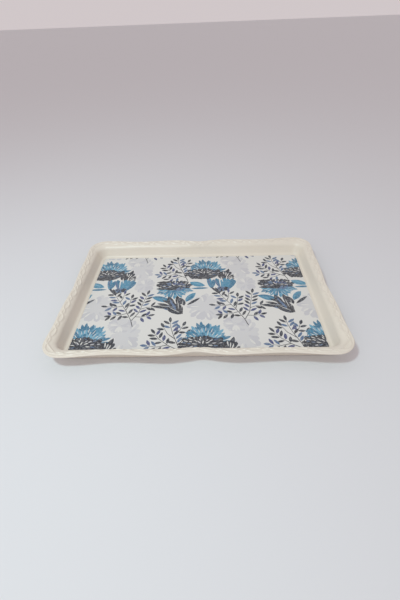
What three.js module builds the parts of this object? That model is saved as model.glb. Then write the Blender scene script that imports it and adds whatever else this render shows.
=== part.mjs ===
// A rectangular household serving tray: one moulding in cream plastic with a shallow well,
// steep drafted walls and a broad lip whose outline waves in and out, and a printed film that
// is moulded into a shallow recess in the floor. Millimetres, +Z up. The origin is the middle
// of the foot ring, on the surface that the tray stands on, and +X runs along the long side.
import * as THREE from 'three';

// Driving dimensions, mm.
const WELL_HALF_LENGTH = 201.5;   // middle of the tray to the foot of a short inner wall
const WELL_HALF_WIDTH = 134.5;    // middle of the tray to the foot of a long inner wall
const WELL_CORNER_RADIUS = 11.0;  // at the foot of the inner walls
const LIP_HALF_LENGTH = 222.5;    // mean line of the wavy edge, which the waves leave by a few mm
const LIP_HALF_WIDTH = 157.5;
const LIP_CORNER_RADIUS = 28.0;
const LIP_HEIGHT = 28.75;         // highest line of the lip, above the table
const FLOOR_HEIGHT = 3.9;         // floor of the well, and the top of the film
const WALL_DRAFT = 0.4;           // of the inner wall: mm outwards for each mm of height
const OUTER_WALL_DRAFT = 0.193;   // of the outside, so the wall is thicker at its foot
const BASE_OUTWARDS = 4.4;        // foot of the inner wall to the outside of the wall, at the table
const WALL_HEIGHT = 18.0;         // height at which the wall starts to turn over into the lip
const FILM_THICKNESS = 0.4;
const FILM_INSET = 5.5;           // foot of the wall to the edge of the film
const FILM_GAP = 0.3;             // between the film's edge and the recess around it

// Waves of the lip's edge: [distance from the middle of the side, offset outwards].
const SHORT_SIDE_WAVES = [[0, -2.4], [18, -1.4], [42, 0.1], [70, 0.8], [88, 0.3], [106, 0.8], [122, 1.7]];
const LONG_SIDE_WAVES = [
  [0, -5.0], [10, -4.0], [22, -1.6], [45, 1.2], [62, 1.2], [86, -0.2],
  [112, -1.4], [132, -1.2], [152, 0.3], [170, 2.2], [186, 3.2],
];

// Steps around one quarter of the tray.
const SHORT_STEPS = 10;
const CORNER_STEPS = 7;
const LONG_STEPS = 16;

// The quarter's stations run from the middle of a short side round the corner to the middle
// of a long side. Each one holds its zone and how far through the zone it is.
function quarterStations() {
  const stations = [];
  for (let i = 0; i < SHORT_STEPS; i += 1) stations.push({ zone: 'short', share: i / SHORT_STEPS });
  for (let i = 0; i < CORNER_STEPS; i += 1) stations.push({ zone: 'corner', share: i / CORNER_STEPS });
  for (let i = 0; i <= LONG_STEPS; i += 1) stations.push({ zone: 'long', share: i / LONG_STEPS });
  return stations;
}

// The point and outward direction of a rounded rectangle at a station of the first quarter.
function onRoundedRectangle(halfLength, halfWidth, radius, { zone, share }) {
  const straightX = halfLength - radius;
  const straightY = halfWidth - radius;
  if (zone === 'short') return { x: halfLength, y: share * straightY, outX: 1, outY: 0 };
  if (zone === 'long') return { x: (1 - share) * straightX, y: halfWidth, outX: 0, outY: 1 };
  const angle = share * Math.PI / 2;
  const outX = Math.cos(angle);
  const outY = Math.sin(angle);
  return { x: straightX + radius * outX, y: straightY + radius * outY, outX, outY };
}

// The offset of the waves along one quarter of the lip's mean line, as a smooth curve.
const lipStraightY = LIP_HALF_WIDTH - LIP_CORNER_RADIUS;
const lipStraightX = LIP_HALF_LENGTH - LIP_CORNER_RADIUS;
const lipCornerLength = LIP_CORNER_RADIUS * Math.PI / 2;
const lipQuarterLength = lipStraightY + lipCornerLength + lipStraightX;
const waveKnots = [
  ...SHORT_SIDE_WAVES,
  ...LONG_SIDE_WAVES.map(([distance, offset]) => [lipQuarterLength - distance, offset]).reverse(),
];
const waves = new THREE.CubicInterpolant(
  waveKnots.map(([distance]) => distance),
  waveKnots.map(([, offset]) => offset),
  1,
);
waves.settings = { endingStart: THREE.ZeroSlopeEnding, endingEnd: THREE.ZeroSlopeEnding };

function lipEdge(station) {
  const p = onRoundedRectangle(LIP_HALF_LENGTH, LIP_HALF_WIDTH, LIP_CORNER_RADIUS, station);
  const travelled = {
    short: station.share * lipStraightY,
    corner: lipStraightY + station.share * lipCornerLength,
    long: lipStraightY + lipCornerLength + station.share * lipStraightX,
  }[station.zone];
  const offset = waves.evaluate(travelled)[0];
  return new THREE.Vector2(p.x + offset * p.outX, p.y + offset * p.outY);
}

function wellOutline(station, outwards) {
  const p = onRoundedRectangle(
    WELL_HALF_LENGTH + outwards,
    WELL_HALF_WIDTH + outwards,
    WELL_CORNER_RADIUS + outwards,
    station,
  );
  return new THREE.Vector2(p.x, p.y);
}

// Profile points. One from the well is placed outwards of the foot of the inner wall, and one
// from the edge is placed inwards of the wavy edge, towards the well.
const fromWell = (outwards, z) => ({ z, at: (station) => wellOutline(station, outwards) });
const fromEdge = (inwards, z) => ({
  z,
  at: (station) => {
    const edge = lipEdge(station);
    const towards = wellOutline(station, 0).sub(edge).normalize();
    return edge.addScaledVector(towards, inwards);
  },
});

// One between them: share is 0 at the well's point and 1 at the edge's.
const between = (well, edge, share, z) => ({
  z,
  at: (station) => well.at(station).lerp(edge.at(station), share),
});

// Points of a fillet arc in the profile, tangent to the two straight stretches that meet at
// corner, which run from before and on to after.
function filletArc(before, corner, after, radius, steps) {
  const c = new THREE.Vector2(...corner);
  const toBefore = new THREE.Vector2(...before).sub(c).normalize();
  const toAfter = new THREE.Vector2(...after).sub(c).normalize();
  const halfAngle = Math.acos(THREE.MathUtils.clamp(toBefore.dot(toAfter), -1, 1)) / 2;
  const tangent = radius / Math.tan(halfAngle);
  const centre = toBefore.clone().add(toAfter).setLength(radius / Math.sin(halfAngle)).add(c);
  const start = c.clone().addScaledVector(toBefore, tangent).sub(centre);
  const end = c.clone().addScaledVector(toAfter, tangent).sub(centre);
  const sweep = Math.atan2(start.cross(end), start.dot(end));
  const points = [];
  for (let i = 0; i <= steps; i += 1) {
    points.push(start.clone().rotateAround(new THREE.Vector2(), sweep * i / steps).add(centre));
  }
  return points;
}

// Tray body ----------------------------------------------------------------------------------
const RECESS_FLOOR = FLOOR_HEIGHT - FILM_THICKNESS;
const RECESS_EDGE = -FILM_INSET + FILM_GAP;
const BEAD_INNER = -4.9;          // small raised line on the floor, around the film
const BEAD_OUTER = -3.7;
const BEAD_RISE = 0.6;
const FOOT_FILLET = 5.2;
const TURN_STEPS = 6;             // of the broad shoulder that turns the wall over into the lip
const EDGE_ROUND = 1.3;           // half the thickness of the lip's rounded edge
const UNDERSIDE = 1.2;            // underside of the floor, above the table
const FOOT_RING_WIDTH = 4.0;
const BASE_ROUND = 1.0;
const UNDER_WALL_HEIGHT = 16.0;   // where the outside of the wall turns out under the lip

const wallAt = (z) => (z - FLOOR_HEIGHT) * WALL_DRAFT;
const outerWallAt = (z) => BASE_OUTWARDS + z * OUTER_WALL_DRAFT;
const wallFoot = filletArc(
  [BEAD_OUTER, FLOOR_HEIGHT],
  [0, FLOOR_HEIGHT],
  [wallAt(WALL_HEIGHT), WALL_HEIGHT],
  FOOT_FILLET,
  3,
);
const edgeMiddle = LIP_HEIGHT - EDGE_ROUND;

// The profile between a well point and an edge point. It leaves the wall upwards and comes to
// the edge almost level, so the lip is nearly flat and its shoulder is broad and round.
function turnOver(well, edge) {
  const rise = edge.z - well.z;
  const curve = new THREE.CubicBezierCurve(
    new THREE.Vector2(0, well.z),
    new THREE.Vector2(0.1, edge.z - 0.36 * rise),
    new THREE.Vector2(0.45, edge.z - 0.06 * rise),
    new THREE.Vector2(1, edge.z),
  );
  return curve.getPoints(TURN_STEPS).map(({ x, y }) => between(well, edge, x, y));
}

const topTurn = turnOver(
  fromWell(wallAt(WALL_HEIGHT), WALL_HEIGHT),
  fromEdge(EDGE_ROUND, LIP_HEIGHT),
);
const underTurn = turnOver(
  fromWell(outerWallAt(UNDER_WALL_HEIGHT), UNDER_WALL_HEIGHT),
  fromEdge(EDGE_ROUND, LIP_HEIGHT - 2 * EDGE_ROUND),
);

const profile = [
  fromWell(RECESS_EDGE, RECESS_FLOOR),
  fromWell(RECESS_EDGE, FLOOR_HEIGHT),
  fromWell(BEAD_INNER, FLOOR_HEIGHT),
  fromWell((BEAD_INNER + BEAD_OUTER) / 2, FLOOR_HEIGHT + BEAD_RISE),
  fromWell(BEAD_OUTER, FLOOR_HEIGHT),
  ...wallFoot.map(({ x, y }) => fromWell(x, y)),
  ...topTurn,
  fromEdge(EDGE_ROUND * 0.3, edgeMiddle + EDGE_ROUND * 0.7),
  fromEdge(0, edgeMiddle),
  fromEdge(EDGE_ROUND * 0.3, edgeMiddle - EDGE_ROUND * 0.7),
  ...underTurn.reverse(),
  fromWell(outerWallAt(BASE_ROUND), BASE_ROUND),
  fromWell(outerWallAt(0) - BASE_ROUND, 0),
  fromWell(outerWallAt(0) - FOOT_RING_WIDTH, 0),
  fromWell(outerWallAt(0) - FOOT_RING_WIDTH - UNDERSIDE / 2, UNDERSIDE),
];

// A closed solid from rings of points. Each ring joins the next, and the first and last rings
// are closed by a fan to a point in the middle.
function solidFromRings(rings) {
  const positions = [];
  const index = [];
  const around = rings[0].length;
  for (const ring of rings) {
    for (const p of ring) positions.push(p.x, p.y, p.z);
  }
  for (let r = 0; r + 1 < rings.length; r += 1) {
    for (let s = 0; s < around; s += 1) {
      const a = r * around + s;
      const b = r * around + (s + 1) % around;
      index.push(a, a + around, b + around, a, b + around, b);
    }
  }
  const topMiddle = positions.length / 3;
  positions.push(0, 0, rings[0][0].z);
  const bottomMiddle = topMiddle + 1;
  positions.push(0, 0, rings.at(-1)[0].z);
  const lastRing = (rings.length - 1) * around;
  for (let s = 0; s < around; s += 1) {
    const next = (s + 1) % around;
    index.push(topMiddle, s, next);
    index.push(bottomMiddle, lastRing + next, lastRing + s);
  }
  const geometry = new THREE.BufferGeometry();
  geometry.setAttribute('position', new THREE.Float32BufferAttribute(positions, 3));
  geometry.setIndex(index);
  geometry.computeVertexNormals();
  return geometry;
}

// A ring of the profile all the way round: the first quarter, mirrored into the other three.
// A mirrored quarter runs backwards, so that the whole ring goes one way.
function fullRing({ z, at }) {
  const quarter = quarterStations().map(at);
  const ring = [];
  for (const [signX, signY] of [[1, 1], [-1, 1], [-1, -1], [1, -1]]) {
    const points = signX === signY ? quarter.slice(0, -1) : quarter.slice(1).reverse();
    for (const p of points) ring.push(new THREE.Vector3(signX * p.x, signY * p.y, z));
  }
  return ring;
}

function trayBody() {
  const plastic = new THREE.MeshStandardMaterial({ color: 0xe2dccf, roughness: 0.32, metalness: 0 });
  const mesh = new THREE.Mesh(solidFromRings(profile.map(fullRing)), plastic);
  mesh.name = 'tray_body';
  return mesh;
}

// Printed film -------------------------------------------------------------------------------
function printedFilm() {
  const halfX = WELL_HALF_LENGTH - FILM_INSET;
  const halfY = WELL_HALF_WIDTH - FILM_INSET;
  const radius = WELL_CORNER_RADIUS - FILM_INSET;
  const outline = new THREE.Shape();
  outline.absarc(halfX - radius, halfY - radius, radius, 0, Math.PI / 2);
  outline.absarc(radius - halfX, halfY - radius, radius, Math.PI / 2, Math.PI);
  outline.absarc(radius - halfX, radius - halfY, radius, Math.PI, Math.PI * 1.5);
  outline.absarc(halfX - radius, radius - halfY, radius, Math.PI * 1.5, Math.PI * 2);
  outline.closePath();
  const geometry = new THREE.ExtrudeGeometry(outline, {
    depth: FILM_THICKNESS,
    curveSegments: CORNER_STEPS,
    bevelEnabled: false,
  });
  const film = new THREE.MeshStandardMaterial({ color: 0xcfcdc8, roughness: 0.35, metalness: 0 });
  const mesh = new THREE.Mesh(geometry, film);
  mesh.name = 'printed_film';
  mesh.position.z = RECESS_FLOOR;
  return mesh;
}

const group = new THREE.Group();
group.add(trayBody(), printedFilm());

export default group;
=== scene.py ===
# A rectangular serving tray in cream plastic: a shallow well with a printed floor, sloping
# walls, and a broad lip with a waved edge and a moulded lace border.
import bmesh
import bpy
import math
import random
from mathutils import Matrix, Vector, geometry


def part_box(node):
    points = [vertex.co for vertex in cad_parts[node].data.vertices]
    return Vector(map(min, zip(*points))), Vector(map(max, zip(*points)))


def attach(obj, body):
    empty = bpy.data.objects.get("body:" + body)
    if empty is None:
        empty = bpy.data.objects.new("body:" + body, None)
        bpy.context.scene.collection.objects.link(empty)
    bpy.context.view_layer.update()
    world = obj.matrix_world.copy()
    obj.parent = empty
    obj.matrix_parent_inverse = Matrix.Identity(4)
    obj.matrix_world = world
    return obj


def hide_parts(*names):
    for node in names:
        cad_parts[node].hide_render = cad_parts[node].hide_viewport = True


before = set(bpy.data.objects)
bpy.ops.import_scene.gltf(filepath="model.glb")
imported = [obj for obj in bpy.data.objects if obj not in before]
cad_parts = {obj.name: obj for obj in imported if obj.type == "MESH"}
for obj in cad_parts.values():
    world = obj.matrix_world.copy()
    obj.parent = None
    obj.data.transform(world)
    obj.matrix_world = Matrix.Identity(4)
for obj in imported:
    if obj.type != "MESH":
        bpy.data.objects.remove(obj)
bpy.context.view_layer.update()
MM = 0.001

# --- Tray moulding ---------------------------------------------------------------------------
# One injection moulding in polypropylene, which is cream all through. Its floor, walls, lip and
# foot ring are one thin skin, and the lip carries a raised lace border of large and small links
# that the mould's cavity is engraved with. Sizes are in millimetres.
FLOOR_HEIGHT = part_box("printed_film")[1].z / MM
FILM_HALF = Vector(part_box("printed_film")[1][:2]) / MM
FILM_THICKNESS = (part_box("printed_film")[1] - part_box("printed_film")[0]).z / MM
FILM_INSET = 5.5
WELL_HALF = FILM_HALF + Vector((FILM_INSET, FILM_INSET))
WELL_CORNER = 11.0
LIP_HALF = Vector((222.5, 157.5))
LIP_CORNER = 28.0
LIP_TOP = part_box("tray_body")[1].z / MM
WALL_DRAFT = 0.4                  # of the inner wall, outwards for each mm of height
OUTER_WALL_DRAFT = 0.193
BASE_OUTWARDS = 4.4               # foot of the inner wall to the outside of the wall, at the base
RECESS_CLEARANCE = 0.05           # round the film
RECESS_BREAK = 0.1                # bevel of the recess's edge
SHORT_SIDE_WAVES = [(0, -2.4), (18, -1.4), (42, 0.1), (70, 0.8), (88, 0.3), (106, 0.8), (122, 1.7)]
LONG_SIDE_WAVES = [(0, -5.0), (10, -4.0), (22, -1.6), (45, 1.2), (62, 1.2), (86, -0.2),
                   (112, -1.4), (132, -1.2), (152, 0.3), (170, 2.2), (186, 3.2)]
LINKS_PER_QUARTER = 11            # one large and one small link each
STATIONS_PER_LINK = 30
BORDER_INSET = 7.2                # edge of the lip to the middle of the lace border
LARGE_LINK, SMALL_LINK = 3.5, 2.0  # half widths of the links
LARGE_SHARE = 0.66                # of the pitch
LINK_FULLNESS = 2.2               # power of a link's outline: a higher one has blunter ends
RIDGE_HALF_WIDTH, RIDGE_HEIGHT = 1.0, 1.3
BEAD_GAP, BEAD_RADIUS, BEAD_SHARE = 1.9, 1.5, 0.75   # outside a small link; height over the ridge's
EDGE_LINE_INSET, EDGE_LINE_HALF_WIDTH, EDGE_LINE_SHARE = 1.6, 0.7, 0.35
CREASE = math.radians(32)         # edges that turn more than this look sharp


def linear(colour):
    """A hex sRGB colour as linear RGBA."""
    parts = [int(colour[i:i + 2], 16) / 255 for i in (1, 3, 5)]
    return [p / 12.92 if p <= 0.04045 else ((p + 0.055) / 1.055) ** 2.4 for p in parts] + [1.0]


def through(knots, at):
    """The height at a place on the smooth curve through the knots, which is level at its ends."""
    i = max(k for k in range(len(knots) - 1) if knots[k][0] <= at or k == 0)
    (x0, y0), (x1, y1) = knots[i], knots[i + 1]

    def slope(k):
        if k in (0, len(knots) - 1):
            return 0.0
        return (knots[k + 1][1] - knots[k - 1][1]) / (knots[k + 1][0] - knots[k - 1][0])

    span = x1 - x0
    t = (at - x0) / span
    rise = y1 - y0
    bend = slope(i) * span * t * (1 - t) ** 2 - slope(i + 1) * span * t * t * (1 - t)
    return y0 + rise * t * t * (3 - 2 * t) + bend


# A quarter of the lip's mean line runs from the middle of a short side, round the corner, to the
# middle of a long side. The lace border inside it is shorter at the corner.
straight = LIP_HALF - Vector((LIP_CORNER, LIP_CORNER))
lip_corner_arc = LIP_CORNER * math.pi / 2
border_corner_arc = (LIP_CORNER - BORDER_INSET) * math.pi / 2
lip_quarter = straight.y + lip_corner_arc + straight.x
border_quarter = straight.y + border_corner_arc + straight.x
link_pitch = border_quarter / LINKS_PER_QUARTER
waves = SHORT_SIDE_WAVES + [(lip_quarter - x, y) for x, y in reversed(LONG_SIDE_WAVES)]
QUARTER = LINKS_PER_QUARTER * STATIONS_PER_LINK
STATIONS = 4 * QUARTER


def place_on_quarter(step):
    """Zone, share of the zone and distance along the border, for a step of the quarter."""
    along = step / QUARTER * border_quarter
    if along <= straight.y:
        return "short", along / straight.y, along
    if along < straight.y + border_corner_arc:
        return "corner", (along - straight.y) / border_corner_arc, along
    return "long", (along - straight.y - border_corner_arc) / straight.x, along


def rounded_rectangle(half, radius, zone, share):
    """A point and its outward direction, on the first quarter of a rounded rectangle."""
    flat = half - Vector((radius, radius))
    if zone == "short":
        return Vector((half.x, share * flat.y)), Vector((1, 0))
    if zone == "long":
        return Vector(((1 - share) * flat.x, half.y)), Vector((0, 1))
    out = Vector((math.cos(share * math.pi / 2), math.sin(share * math.pi / 2)))
    return flat + radius * out, out


def well_point(zone, share, outwards):
    grown = Vector((outwards, outwards))
    return rounded_rectangle(WELL_HALF + grown, WELL_CORNER + outwards, zone, share)[0]


def lip_point(zone, share):
    point, out = rounded_rectangle(LIP_HALF, LIP_CORNER, zone, share)
    travelled = {"short": share * straight.y,
                 "corner": straight.y + share * lip_corner_arc,
                 "long": straight.y + lip_corner_arc + share * straight.x}[zone]
    return point + out * through(waves, travelled)


def lace(along, inwards):
    """Height of the lace border at a distance along it and inwards of the lip's edge."""
    place = along / link_pitch % 1.0
    from_small = min(place, 1 - place)
    small_end = (1 - LARGE_SHARE) / 2
    if from_small < small_end:
        reach, half_width = from_small / small_end, SMALL_LINK
        half_length = small_end * link_pitch
    else:
        reach, half_width = (0.5 - from_small) / (0.5 - small_end), LARGE_LINK
        half_length = LARGE_SHARE / 2 * link_pitch
    outline = half_width * (1 - reach ** LINK_FULLNESS)
    slope = half_width * LINK_FULLNESS * reach ** (LINK_FULLNESS - 1) / half_length
    across = abs(inwards - BORDER_INSET)
    from_ridge = (across - outline) / math.hypot(1, slope)
    ridge = math.exp(-(from_ridge / RIDGE_HALF_WIDTH) ** 2)
    # A small bead sits outside each small link, and a fine line runs along the edge.
    bead_inset = BORDER_INSET - SMALL_LINK - BEAD_GAP
    from_bead = math.hypot(from_small * link_pitch, inwards - bead_inset)
    bead = BEAD_SHARE * math.exp(-(from_bead / BEAD_RADIUS) ** 2)
    from_line = inwards - EDGE_LINE_INSET
    edge_line = EDGE_LINE_SHARE * math.exp(-(from_line / EDGE_LINE_HALF_WIDTH) ** 2)
    return RIDGE_HEIGHT * max(ridge, bead, edge_line)


def fillet(before, corner, after, radius, steps):
    """Points of the arc that rounds a corner of the profile, from the first side to the second."""
    before, corner, after = Vector(before), Vector(corner), Vector(after)
    first, second = (before - corner).normalized(), (after - corner).normalized()
    half_angle = first.angle(second) / 2
    centre = corner + (first + second).normalized() * radius / math.sin(half_angle)
    start = corner + first * radius / math.tan(half_angle) - centre
    end = corner + second * radius / math.tan(half_angle) - centre
    sweep = end.angle_signed(start)
    return [centre + Matrix.Rotation(sweep * i / steps, 2) @ start for i in range(steps + 1)]


def wall(z):
    return (z - FLOOR_HEIGHT) * WALL_DRAFT


def outer_wall(z):
    return BASE_OUTWARDS + z * OUTER_WALL_DRAFT


WALL_TOP, UNDER_WALL_TOP = 18.0, 16.0   # where the wall turns over into the lip, above and below
MID_WALL = 12.6                   # height of a row between the fillet and the lip
SHOULDER_GUIDES = ((0.1, 0.36), (0.45, 0.06))   # share of the way out, and of the rise still to go
LACE_FADE = 0.2                   # share of the lip over which the lace rises to its full height
EDGE_ROUND = 1.3
LIP_LEVEL = LIP_TOP - 1.3         # the lip's surface, below the tops of its ridges
UNDERSIDE = 1.2                   # height of the floor's underside inside the foot ring
FOOT_RING_WIDTH = 4.0
BASE_ROUND = 2.2                  # of the foot ring's outer edge
# A fine raised line runs round the film, at these distances outwards of the wall's foot.
FLOOR_LINE_INNER, FLOOR_LINE_OUTER, FLOOR_LINE_RISE = -4.9, -3.7, 0.6
FOOT_FILLET = 5.2                 # between the floor and the inner wall
ARC_STEPS = 6
LIP_ROWS, UNDER_ROWS = 34, 9
foot_arc = fillet((FLOOR_LINE_OUTER, FLOOR_HEIGHT), (0, FLOOR_HEIGHT), (wall(WALL_TOP), WALL_TOP),
                  FOOT_FILLET, ARC_STEPS)


def well_row(outwards, z):
    def at(zone, share, along):
        return (*well_point(zone, share, outwards), z)
    return at


def turned_over(low, high, reach):
    """Share of the way to the edge and height, on the broad curve from the wall to the lip."""
    bends = [Vector((out, high - left * (high - low))) for out, left in SHOULDER_GUIDES]
    guides = [Vector((0, low)), *bends, Vector((1, high))]
    while len(guides) > 1:
        guides = [a.lerp(b, reach) for a, b in zip(guides, guides[1:])]
    return guides[0]


def lip_row(reach):
    """A row of the lip's top, from the wall at 0 to the start of its rounded edge at 1."""
    share_out, z = turned_over(WALL_TOP, LIP_LEVEL, reach)
    fade = min(1.0, share_out / LACE_FADE) ** 2

    def at(zone, share, along):
        inner = well_point(zone, share, wall(WALL_TOP))
        edge = lip_point(zone, share)
        outer = edge + (inner - edge).normalized() * EDGE_ROUND
        point = inner.lerp(outer, share_out)
        return (*point, z + fade * lace(along, (point - edge).length))
    return at


def under_row(reach):
    """A row of the lip's underside, from the edge at 0 to the outside of the wall at 1."""
    share_out, z = turned_over(UNDER_WALL_TOP, LIP_LEVEL - 2 * EDGE_ROUND, 1 - reach)

    def at(zone, share, along):
        inner = well_point(zone, share, outer_wall(UNDER_WALL_TOP))
        edge = lip_point(zone, share)
        outer = edge + (inner - edge).normalized() * EDGE_ROUND
        return (*inner.lerp(outer, share_out), z)
    return at


def edge_row(turn):
    """A row of the rounded edge, from its top at 0 degrees to its underside at 180."""
    def at(zone, share, along):
        edge = lip_point(zone, share)
        inwards = (well_point(zone, share, 0) - edge).normalized()
        point = edge + inwards * EDGE_ROUND * (1 - math.sin(math.radians(turn)))
        return (*point, LIP_LEVEL - EDGE_ROUND * (1 - math.cos(math.radians(turn))))
    return at


recess = RECESS_CLEARANCE - FILM_INSET
rows = [well_row(recess, FLOOR_HEIGHT - FILM_THICKNESS),
        well_row(recess, FLOOR_HEIGHT - RECESS_BREAK / 2),
        well_row(recess + RECESS_BREAK, FLOOR_HEIGHT)]
for i in range(ARC_STEPS + 1):
    share = i / ARC_STEPS
    rise = FLOOR_LINE_RISE * math.sin(math.pi * share) ** 1.5
    outwards = FLOOR_LINE_INNER + (FLOOR_LINE_OUTER - FLOOR_LINE_INNER) * share
    rows.append(well_row(outwards, FLOOR_HEIGHT + rise))
rows += [well_row(*p) for p in foot_arc]
rows.append(well_row(wall(MID_WALL), MID_WALL))
rows += [lip_row(i / LIP_ROWS) for i in range(LIP_ROWS + 1)]
rows += [edge_row(turn) for turn in (36, 72, 108, 144)]
rows += [under_row(i / UNDER_ROWS) for i in range(UNDER_ROWS + 1)]
rows += [well_row(outer_wall(z), z) for z in (UNDER_WALL_TOP / 2, BASE_ROUND)]
for turn in (30, 60, 90):
    lean = math.radians(turn)
    rows.append(well_row(outer_wall(BASE_ROUND) - BASE_ROUND * (1 - math.cos(lean)),
                         BASE_ROUND * (1 - math.sin(lean))))
rows += [well_row(outer_wall(0) - FOOT_RING_WIDTH, 0.0),
         well_row(outer_wall(0) - FOOT_RING_WIDTH - UNDERSIDE / 2, UNDERSIDE)]


def full_turn(row, station):
    """The place of a station of the whole turn, from the quarter that it mirrors."""
    quarter, step = divmod(station, QUARTER)
    if quarter % 2:
        step = QUARTER - step
    x, y, z = row(*place_on_quarter(step))
    sign_x = -1 if quarter in (1, 2) else 1
    sign_y = -1 if quarter in (2, 3) else 1
    return Vector((sign_x * x, sign_y * y, z)) * MM


def finished(bm, name):
    """The bmesh as a smooth-shaded object at the origin, with its creases kept sharp."""
    bmesh.ops.recalc_face_normals(bm, faces=bm.faces)
    for face in bm.faces:
        face.smooth = True
    for edge in bm.edges:
        edge.smooth = edge.calc_face_angle(0) < CREASE
    mesh = bpy.data.meshes.new(name)
    bm.to_mesh(mesh)
    bm.free()
    piece = bpy.data.objects.new(name, mesh)
    bpy.context.collection.objects.link(piece)
    return piece


bm = bmesh.new()
station_of = bm.verts.layers.int.new("station")
for i, vert in enumerate(bmesh.ops.create_circle(bm, segments=STATIONS, radius=1)["verts"]):
    vert[station_of] = i
    vert.co = full_turn(rows[0], i)
ring = bm.edges[:]
bmesh.ops.contextual_create(bm, geom=ring)
for row in rows[1:]:
    grown = bmesh.ops.extrude_edge_only(bm, edges=ring)["geom"]
    ring = [part for part in grown if isinstance(part, bmesh.types.BMEdge)]
    for part in grown:
        if isinstance(part, bmesh.types.BMVert):
            part.co = full_turn(row, part[station_of])
bmesh.ops.contextual_create(bm, geom=ring)
bm.verts.layers.int.remove(station_of)
tray = finished(bm, "tray")


def add(tree, kind, settings=(), links=()):
    """A node with its settings, and its inputs linked or set: {input: socket or value}."""
    made = tree.nodes.new("ShaderNode" + kind)
    for key, value in dict(settings).items():
        setattr(made, key, value)
    for key, value in dict(links).items():
        if isinstance(value, bpy.types.NodeSocket):
            tree.links.new(value, made.inputs[key])
        else:
            made.inputs[key].default_value = value
    return made


# Polypropylene from a polished mould: a soft sheen, faint clouds of tint and a fine orange peel.
plastic = bpy.data.materials.new("moulded cream polypropylene")
plastic.use_nodes = True
nodes = plastic.node_tree
shader = nodes.nodes["Principled BSDF"]
shader.inputs["Roughness"].default_value = 0.38
shader.inputs["IOR"].default_value = 1.49
place = add(nodes, "TexCoord").outputs["Object"]
cloud = add(nodes, "TexNoise", links={"Vector": place, "Scale": 1 / (60 * MM), "Detail": 3.0})
tint = add(nodes, "Mix", {"data_type": "RGBA"},
           {"Factor": cloud.outputs["Fac"], 6: linear("#ddd4c5"), 7: linear("#e2dace")})
nodes.links.new(tint.outputs[2], shader.inputs["Base Color"])
peel = add(nodes, "TexNoise", links={"Vector": place, "Scale": 1 / (2.5 * MM), "Detail": 2.0})
bump = add(nodes, "Bump", links={"Height": peel.outputs["Fac"], "Strength": 0.05, "Distance": 0.3 * MM})
nodes.links.new(bump.outputs["Normal"], shader.inputs["Normal"])
tray.data.materials.append(plastic)
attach(tray, "root")
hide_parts("tray_body")

# --- Printed film ------------------------------------------------------------------------------
# A thin gloss film, printed with a repeating pattern of brushed flowers and leafy sprigs and
# moulded into the floor of the well. Places of the pattern are in millimetres from the middle
# of the tray. Each shape is an outline, and a later one is printed over an earlier one.
PATTERN_STEP_X = Vector((187.5, 0))
PATTERN_STEP_Y = Vector((-1.5, -186))
FILM_CORNER = WELL_CORNER - FILM_INSET
INKS = {"ground": "#dad8d3", "blush": "#cecccb", "haze": "#c5c3c5",
        "teal": "#4b89a5", "deep teal": "#3a7390", "sky": "#69a1b9",
        "slate": "#566e8d", "indigo": "#454d75", "charcoal": "#2d323a", "soot": "#38393c"}
LEAF_CLEARANCE = 5.0              # between the middles of two leaves, or of a leaf and a stem
LEAF_WIDTHS, LEAF_LEANS = (4.5, 5.4), (46, 58)
STEM_WIDTH, STALK = 1.5, 1.5
PETAL_STEPS = 7
FRILL_PITCH = 7.5                 # between the petals of a ruffle
CUT_TOLERANCE = 0.01
brush = random.Random(11)
outlines = []                     # (ink, points), in the order of printing


def petal(ink, base, tip, width, fullest=0.62, point=0.55):
    """A shape from base to tip: fullest is where it is widest, and point sharpens its tip."""
    base, tip = Vector(base), Vector(tip)
    side = Vector((base.y - tip.y, tip.x - base.x)).normalized() * width / 2
    sway = brush.uniform(-0.12, 0.12) * width
    edge = []
    for i in range(1, PETAL_STEPS):
        reach = i / PETAL_STEPS
        if reach < fullest:
            bulge = (reach / fullest) ** 0.8
        else:
            bulge = ((1 - reach) / (1 - fullest)) ** point
        edge.append((reach, math.sin(bulge * math.pi / 2)))
    left = [base.lerp(tip, r) + side * (w + sway / width * 2) for r, w in edge]
    right = [base.lerp(tip, r) - side * (w - sway / width * 2) for r, w in reversed(edge)]
    outlines.append((ink, [base, *left, tip, *right]))


def leaf(ink, base, tip, width):
    petal(ink, base, tip, width, 0.5, 0.8)


def stem(ink, route, width):
    """A brushed line along a route, which is thickest at its start."""
    route = [Vector(p) for p in route]
    left, right = [], []
    for i, p in enumerate(route):
        along = (route[min(i + 1, len(route) - 1)] - route[max(i - 1, 0)]).normalized()
        half = width / 2 * (1 - 0.55 * i / (len(route) - 1))
        left.append(p + Vector((-along.y, along.x)) * half)
        right.append(p - Vector((-along.y, along.x)) * half)
    outlines.append((ink, left + right[::-1]))


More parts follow.
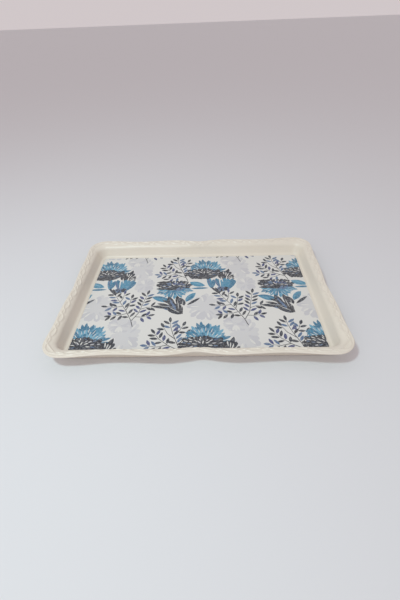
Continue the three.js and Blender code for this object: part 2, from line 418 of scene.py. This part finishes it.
def sprig(branches, spacing=8.8):
    """Leafy branches, each (distance to its first leaves, length of a leaf, route)."""
    taken = []                    # places on the stems and middles of leaves
    leaves = []                   # (foot, tip)
    for first, size, route in branches:
        route = [Vector(p) for p in route]
        stem("soot", route, STEM_WIDTH)
        travelled, done = first, 0.0
        for start, end in zip(route, route[1:]):
            length = (end - start).length
            along = (end - start) / length
            for step in range(int(length / LEAF_CLEARANCE)):
                taken.append(start + along * (step + 0.5) * LEAF_CLEARANCE)
            while travelled < done + length:
                foot = start + along * (travelled - done)
                for turn in (1, -1):
                    lean = math.radians(brush.uniform(*LEAF_LEANS)) * turn
                    out = Matrix.Rotation(lean, 2) @ along
                    tip = foot + out * (size * brush.uniform(0.92, 1.1) + STALK)
                    leaves.append((foot + out * STALK, tip))
                travelled += spacing
            done += length
        leaves.append((end, end + along * size))
        taken.append(end + along * size / 2)
    for foot, tip in leaves:
        middle = foot.lerp(tip, 0.55)
        at_tip = any((middle - other).length < 1 for other in taken)
        if at_tip or all((middle - other).length > LEAF_CLEARANCE for other in taken):
            ink = brush.choice(("soot", "charcoal", "indigo", "charcoal", "slate", "indigo"))
            leaf(ink, foot, tip, brush.uniform(*LEAF_WIDTHS))
            taken.append(middle)


def fan(inks, centre, radii, length, width, start, stop, count, fullest=0.72, point=0.5, ragged=0.07):
    """Petals side by side round part of an ellipse, with their tips outwards."""
    for i in range(count):
        angle = math.radians(start + (stop - start) * (i + brush.uniform(-0.25, 0.25)) / (count - 1))
        tip = Vector((radii[0] * math.cos(angle), radii[1] * math.sin(angle)))
        tip *= brush.uniform(0.98 - ragged, 0.98 + ragged)
        base = tip - tip.normalized() * length * brush.uniform(0.85, 1.1)
        petal(brush.choice(inks), Vector(centre) + base, Vector(centre) + tip,
              width * brush.uniform(0.85, 1.2), fullest, point)


def blot(ink, centre, radii, wobble=0.08, points=22):
    """A rough oval of solid ink."""
    shape = []
    for i in range(points):
        angle = math.tau * i / points
        reach = 1 + brush.uniform(-wobble, wobble)
        out = Vector((radii[0] * math.cos(angle), radii[1] * math.sin(angle)))
        shape.append(Vector(centre) + out * reach)
    outlines.append((ink, shape))


def ruffle(centre, radii, start, stop, rows):
    """A frilled mass of dark petals, with strokes of the ground left between them."""
    blot("charcoal", centre, (radii[0] * 0.86, radii[1] * 0.8), 0.05)
    for row in range(rows):
        share = 1 - row / rows * 0.75
        span = (radii[0] * share, radii[1] * share)
        count = max(5, round((stop - start) / 360 * 2 * math.pi * span[0] / FRILL_PITCH))
        fan(("charcoal", "soot", "charcoal"), centre, span, 12, 6.5, start, stop, count, 0.7, 0.7, 0.12)
        fan(("ground", "haze", "slate", "ground"), centre, (span[0] * 0.88, span[1] * 0.88), 7.5, 1.8,
            start + 7, stop + 7, round(count * 0.7), 0.4)


def pale_flower(centre, radii, start):
    """A washed-out flower head that stays behind the others."""
    blot("blush", centre, (radii[0] * 0.7, radii[1] * 0.7), 0.1)
    fan(("blush", "haze", "blush"), centre, radii, 22, 10, start, start + 345, 18, 0.6)
    fan(("ground", "blush", "haze"), centre, (radii[0] * 0.8, radii[1] * 0.8), 14, 3.5,
        start, start + 345, 14, 0.5)


# Pale flowers lie under everything else.
for centre, radii, start in (((-112, 88), (24, 42), 0), ((-100, 34), (20, 24), 30),
                             ((12, -30), (33, 36), 20), ((60, -74), (20, 20), 10)):
    pale_flower(centre, radii, start)

# A leafy sprig that forks at its base.
sprig([(24, 13.5, [(-106, -77), (-111, -62), (-124, -36), (-138, -14), (-151, 7)]),
       (12, 13.5, [(-110, -62), (-101, -44), (-97, -20), (-92, 6)]),
       (9, 12.5, [(-120, -44), (-133, -49), (-146, -50)]),
       (9, 12.5, [(-131, -25), (-145, -28), (-157, -26)]),
       (10, 12.0, [(-124, -36), (-120, -22), (-119, -4)]),
       (9, 12.0, [(-138, -14), (-134, -3), (-134, 8)]),
       (9, 12.5, [(-99, -34), (-88, -29), (-78, -28)]),
       (9, 12.0, [(-105, -53), (-94, -54), (-84, -51)])])

# An airy branch behind the large flower.
sprig([(18, 13.5, [(-21, 46), (-28, 66), (-37, 90), (-42, 108), (-43, 118)]),
       (16, 13.5, [(-24, 56), (-42, 66), (-58, 80), (-66, 92)]),
       (9, 12.5, [(-44, 68), (-60, 64), (-74, 66)]),
       (10, 12.5, [(-33, 80), (-46, 92), (-53, 106)]),
       (9, 12.0, [(-36, 88), (-27, 99), (-23, 109)]),
       (9, 12.0, [(-29, 68), (-19, 79), (-15, 90)]),
       (8, 12.0, [(-33, 61), (-46, 54), (-56, 53)])])

# The hanging flower: dark frill above, teal petals below, and a stack of leaves at its foot.
leaf("deep teal", (-48, -15), (-83, -1), 14)
leaf("teal", (-52, -14), (-82, -3), 8)
leaf("charcoal", (-36, -24), (-64, -10), 7)
leaf("teal", (-22, -16), (-5, 9), 12)
leaf("deep teal", (-22, -16), (-8, 4), 4.5)
fan(("teal", "sky", "teal", "deep teal"), (-45, 24), (35, 30), 24, 5.5, 184, 352, 18, 0.65, 0.85, 0.12)
fan(("sky", "teal", "deep teal"), (-45, 24), (26, 21), 16, 5, 190, 350, 14, 0.7, 0.8)
fan(("ground", "haze"), (-45, 24), (29, 25), 12, 1.2, 192, 348, 11, 0.6, 0.8, 0.12)
ruffle((-45, 31), (33, 17), -15, 205, 3)
fan(("slate", "indigo", "slate"), (-46, 31), (22, 11), 9, 3.2, 15, 175, 9, 0.6, 0.8)
for ink, base, tip, width in (("soot", (-58, 44), (-79, 42), 6), ("charcoal", (-56, 35), (-76, 36), 6),
                              ("soot", (-54, 23), (-78, 22), 6), ("slate", (-38, 14), (-24, 27), 5),
                              ("charcoal", (-32, -30), (-38, 2), 9), ("charcoal", (-42, -32), (-53, 0), 12),
                              ("charcoal", (-24, -26), (-36, -4), 11), ("slate", (-34, -36), (-66, -26), 12),
                              ("soot", (-26, -48), (-52, -20), 15), ("charcoal", (-44, -32), (-81, -27), 8),
                              ("soot", (-50, -26), (-72, -20), 6), ("charcoal", (-28, -48), (-54, -32), 10),
                              ("soot", (-29, -46), (-31, -24), 7), ("slate", (-38, -38), (-46, -18), 5),
                              ("charcoal", (-20, -25), (3, -5), 6),
                              ("slate", (-42, 14), (-33, 27), 5), ("ground", (-31, -44), (-50, -30), 1.1),
                              ("ground", (-33, -36), (-37, -10), 1.0),
                              ("ground", (-40, -30), (-68, -26), 0.9),
                              ("ground", (-29, -34), (-27, -12), 1.0),
                              ("slate", (-44, -26), (-50, -8), 3.5)):
    leaf(ink, base, tip, width)

# The upright flower: a wide teal fan over a dark frill, with its bud, stems and leaves.
for ink, base, tip, width in (("teal", (12, 30), (-17, 42), 14), ("sky", (4, 33), (-12, 41), 3.5),
                              ("deep teal", (18, 23), (-14, 22), 5.5), ("teal", (23, 21), (17, 62), 9),
                              ("deep teal", (25, 22), (29, 50), 9), ("slate", (21, 30), (16, 60), 4)):
    leaf(ink, base, tip, width)
fan(("teal", "sky", "deep teal", "teal"), (14, 68), (35, 49), 24, 5.6, 40, 162, 19, 0.68, 0.9, 0.12)
fan(("teal", "sky", "deep teal"), (14, 68), (40, 42), 24, 6.0, 12, 46, 5, 0.6, 0.8, 0.1)
fan(("sky", "teal", "deep teal", "teal"), (14, 68), (27, 37), 17, 5.2, 15, 165, 17, 0.7, 0.8, 0.1)
fan(("ground", "haze", "ground"), (14, 68), (28, 38), 11, 1.3, 18, 162, 13, 0.6, 0.8, 0.14)
fan(("deep teal", "teal", "sky"), (14, 68), (20, 27), 12, 4.5, 15, 165, 11, 0.7, 0.8)
ruffle((9, 68), (36, 20), -15, 195, 3)
fan(("charcoal", "soot"), (4, 66), (28, 16), 12, 8, 190, 320, 9)
for ink, base, tip, width in (("charcoal", (46, 48), (36, 66), 10), ("soot", (46, 48), (44, 72), 10),
                              ("charcoal", (48, 48), (54, 66), 12), ("charcoal", (50, 60), (58, 84), 8),
                              ("soot", (50, 48), (66, 64), 9), ("charcoal", (52, 48), (66, 53), 9)):
    leaf(ink, base, tip, width)
fan(("charcoal", "soot"), (50, 50), (19, 28), 20, 7.5, 0, 105, 7, 0.7, 0.6, 0.1)
fan(("ground",), (50, 50), (17, 24), 13, 1.6, 8, 98, 6, 0.6, 0.8, 0.1)
petal("deep teal", (42, 16), (32, 53), 10, 0.7, 0.7)
petal("slate", (41, 18), (29, 48), 4, 0.7, 0.7)
petal("deep teal", (50, 16), (63, 51), 17, 0.72, 0.5)
petal("teal", (48, 15), (50, 53), 19, 0.75, 0.4)
for base, tip in (((41, 24), (38, 55)), ((45, 40), (42, 58)), ((52, 48), (53, 60)), ((57, 46), (64, 56))):
    leaf("ground", base, tip, 2.2)
blot("slate", (45, 20), (11, 5.5), 0.15)
fan(("charcoal", "slate", "charcoal"), (44, 28), (12, 17), 10, 4.5, 205, 335, 8, 0.6, 0.8)
for ink, base, tip, width in (("charcoal", (36, 8), (22, 26), 5), ("charcoal", (38, 4), (30, 24), 5)):
    leaf(ink, base, tip, width)


# The printed area is cut up by all the outlines at once, so every patch of ink is a face.
film_half = FILM_HALF - Vector((RECESS_CLEARANCE, RECESS_CLEARANCE))
quarter = [rounded_rectangle(film_half, FILM_CORNER, "corner", i / ARC_STEPS)[0]
           for i in range(ARC_STEPS + 1)]
border = (quarter + [Vector((-p.x, p.y)) for p in reversed(quarter)]
          + [-p for p in quarter] + [Vector((p.x, -p.y)) for p in reversed(quarter)])
shapes = [("ground", border)]
for ink, points in outlines:
    if sum(a.cross(b) for a, b in zip(points, points[1:] + points[:1])) < 0:
        points = points[::-1]     # the cutting below needs every outline to run anticlockwise
    for across in (-2, -1, 0, 1, 2):
        for down in (-1, 0, 1):
            shift = PATTERN_STEP_X * across + PATTERN_STEP_Y * down
            moved = [p + shift for p in points]
            if any(abs(p.x) < film_half.x and abs(p.y) < film_half.y for p in moved):
                shapes.append((ink, moved))
corners = [p for _, points in shapes for p in points]
loops, first = [], 0
for _, points in shapes:
    loops.append(list(range(first, first + len(points))))
    first += len(points)
OVERLAPPING_REGIONS = 4           # the output that splits faces where the outlines cross
places, _, patches, _, _, shapes_over = geometry.delaunay_2d_cdt(
    corners, [], loops, OVERLAPPING_REGIONS, CUT_TOLERANCE)

bm = bmesh.new()
ink_of = bm.loops.layers.float_color.new("ink")
top = [bm.verts.new((p.x * MM, p.y * MM, FLOOR_HEIGHT * MM)) for p in places]
for patch, over in zip(patches, shapes_over):
    if 0 not in over:             # shape 0 is the border, and this patch is outside it
        continue
    ink = shapes[max(over)][0]
    colour = linear(INKS[ink])
    colour[3] = 0.0 if ink == "ground" else 1.0
    made = bm.faces.new([top[i] for i in patch])
    for corner in made.loops:
        corner[ink_of] = colour
bmesh.ops.delete(bm, geom=[v for v in bm.verts if not v.link_faces], context="VERTS")
rim = [edge for edge in bm.edges if edge.is_boundary]
grown = bmesh.ops.extrude_edge_only(bm, edges=rim)["geom"]
lower = [part for part in grown if isinstance(part, bmesh.types.BMVert)]
bmesh.ops.translate(bm, vec=(0, 0, -FILM_THICKNESS * MM), verts=lower)
lower_rim = [part for part in grown if isinstance(part, bmesh.types.BMEdge) and part.is_boundary]
bmesh.ops.contextual_create(bm, geom=lower_rim)
film = finished(bm, "printed_floor")

# Ink behind a clear gloss film: flat brushed colours under a sheen, with pale specks where the
# ink is thin. The ink layer holds each face's colour, and its alpha is 0 where nothing is printed.
print_film = bpy.data.materials.new("gloss in-mould print film")
print_film.use_nodes = True
nodes = print_film.node_tree
shader = nodes.nodes["Principled BSDF"]
shader.inputs["Roughness"].default_value = 0.32
shader.inputs["IOR"].default_value = 1.5
place = add(nodes, "TexCoord").outputs["Object"]
ink = add(nodes, "Attribute", {"attribute_name": "ink"})
marks = add(nodes, "TexNoise",
            links={"Vector": place, "Scale": 1 / (3.0 * MM), "Detail": 3.0, "Roughness": 0.7})
sparse = add(nodes, "MapRange", links={"Value": marks.outputs["Fac"], "From Min": 0.45, "From Max": 0.75,
                                       "To Min": 0.0, "To Max": 0.4})
inked = add(nodes, "Math", {"operation": "MULTIPLY"}, {0: sparse.outputs[0], 1: ink.outputs["Alpha"]})
worn = add(nodes, "Mix", {"data_type": "RGBA"},
           {"Factor": inked.outputs[0], 6: ink.outputs["Color"], 7: linear("#c9cdd2")})
nodes.links.new(worn.outputs[2], shader.inputs["Base Color"])
film.data.materials.append(print_film)
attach(film, "root")
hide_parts("printed_film")

# --- Studio -----------------------------------------------------------------------------------
# A pale painted floor, a soft key light above the front left of the tray, a low fill from the
# front, and pale air all round.
FLOOR_HALF = 40.0                 # metres, so that the floor has no edge in sight
CAMERA_PLACE = Vector((20.26, -479.02, 387.26)) * MM
CAMERA_YAW, CAMERA_DOWN, CAMERA_ROLL = 2.139, 39.338, -2.300   # degrees
SENSOR_WIDTH, LENS_LENGTH = 36.0, 20.7
bm = bmesh.new()
bmesh.ops.create_grid(bm, x_segments=1, y_segments=1, size=FLOOR_HALF)
floor = finished(bm, "floor")
# Matt paint, which shows soft shadows and no reflection of the tray.
floor_paint = bpy.data.materials.new("matt studio floor")
floor_paint.use_nodes = True
floor_shader = floor_paint.node_tree.nodes["Principled BSDF"]
floor_shader.inputs["Base Color"].default_value = linear("#dadadc")
floor_shader.inputs["Roughness"].default_value = 0.7
floor.data.materials.append(floor_paint)


def softbox(name, towards, distance, size, watts, colour):
    """An area light that faces the tray from a direction."""
    lamp = bpy.data.lights.new(name, "AREA")
    lamp.shape = "DISK"
    lamp.size = size
    lamp.energy = watts
    lamp.color = linear(colour)[:3]
    stand = bpy.data.objects.new(name, lamp)
    direction = Vector(towards).normalized()
    stand.location = direction * distance
    stand.rotation_euler = direction.to_track_quat("Z", "Y").to_euler()
    bpy.context.collection.objects.link(stand)


softbox("key", (-0.43, -0.48, 1.175), 1.34, 0.15, 6.75, "#e0fcff")
softbox("front fill", (-0.6, -1.0, 0.55), 2.2, 1.6, 5.7, "#fffefd")
world = bpy.data.worlds.new("studio air")
world.use_nodes = True
world.node_tree.nodes["Background"].inputs["Color"].default_value = linear("#fff4f6")
world.node_tree.nodes["Background"].inputs["Strength"].default_value = 0.635
bpy.context.scene.world = world
bpy.context.scene.view_settings.view_transform = "Standard"

lens = bpy.data.cameras.new("camera")
lens.sensor_width = SENSOR_WIDTH
lens.lens = LENS_LENGTH
camera = bpy.data.objects.new("camera", lens)
turned = (Matrix.Rotation(math.radians(CAMERA_YAW), 4, "Z")
          @ Matrix.Rotation(math.radians(90 - CAMERA_DOWN), 4, "X")
          @ Matrix.Rotation(math.radians(CAMERA_ROLL), 4, "Z"))
camera.matrix_world = Matrix.Translation(CAMERA_PLACE) @ turned
bpy.context.collection.objects.link(camera)
bpy.context.scene.camera = camera
